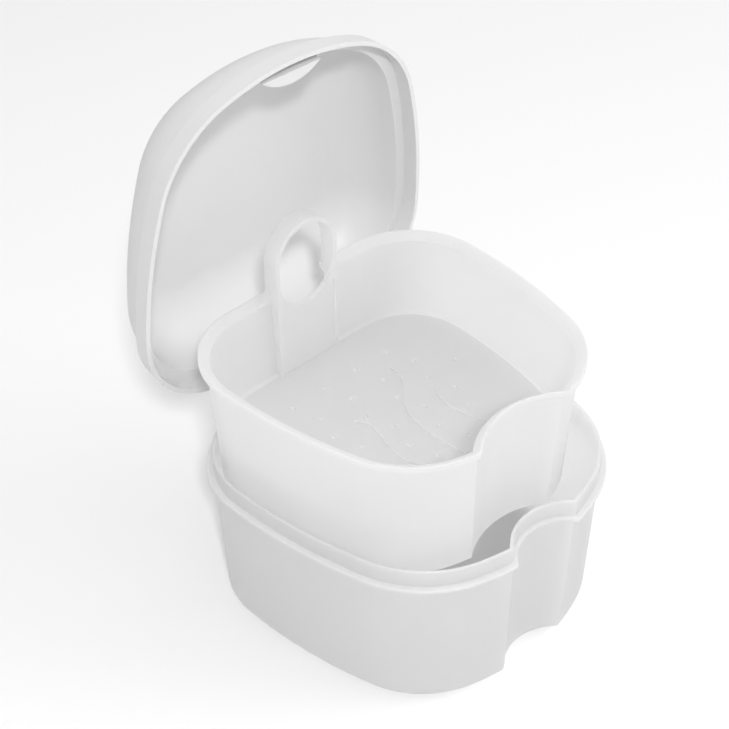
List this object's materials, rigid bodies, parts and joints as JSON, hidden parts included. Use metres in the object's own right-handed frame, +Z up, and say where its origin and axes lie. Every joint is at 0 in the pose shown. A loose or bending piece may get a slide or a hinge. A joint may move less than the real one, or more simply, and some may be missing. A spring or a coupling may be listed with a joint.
{
  "type": "denture bath box",
  "caption": "Rounded plastic denture bath box with a thumb scoop, a lift-out strainer basket with a finger loop and a hinged domed lid.",
  "frame": {"origin": "on the table under the middle of the cup", "axes": "+Z up, +Y towards the hinge, +X to the right when facing the thumb scoop"},
  "size_m": [0.0864, 0.105, 0.1285],
  "materials": {
    "cup_plastic": "satin translucent white polypropylene",
    "basket_plastic": "milky translucent polypropylene",
    "lid_plastic": "smooth opaque white polypropylene"
  },
  "bodies": {
    "cup": {"cup": "cup_plastic"},
    "basket": {"basket": "basket_plastic"},
    "lid": {"lid": "lid_plastic"}
  },
  "joints": [
    {"name": "lid_hinge", "type": "hinge", "parent": "cup", "child": "lid", "pos_m": [0, 0.0468, 0.0409], "axis": [1, 0, 0], "range_deg": [0, 84.8]},
    {"name": "basket_lift", "type": "slide", "parent": "cup", "child": "basket", "axis": [-0.1179, 0.0174, 0.9929], "range_m": [-0.04029, 0]}
  ],
  "couplings": [
    {"joint": "basket_lift", "follows": "lid_hinge", "m_per_rad": -0.027222}
  ]
}
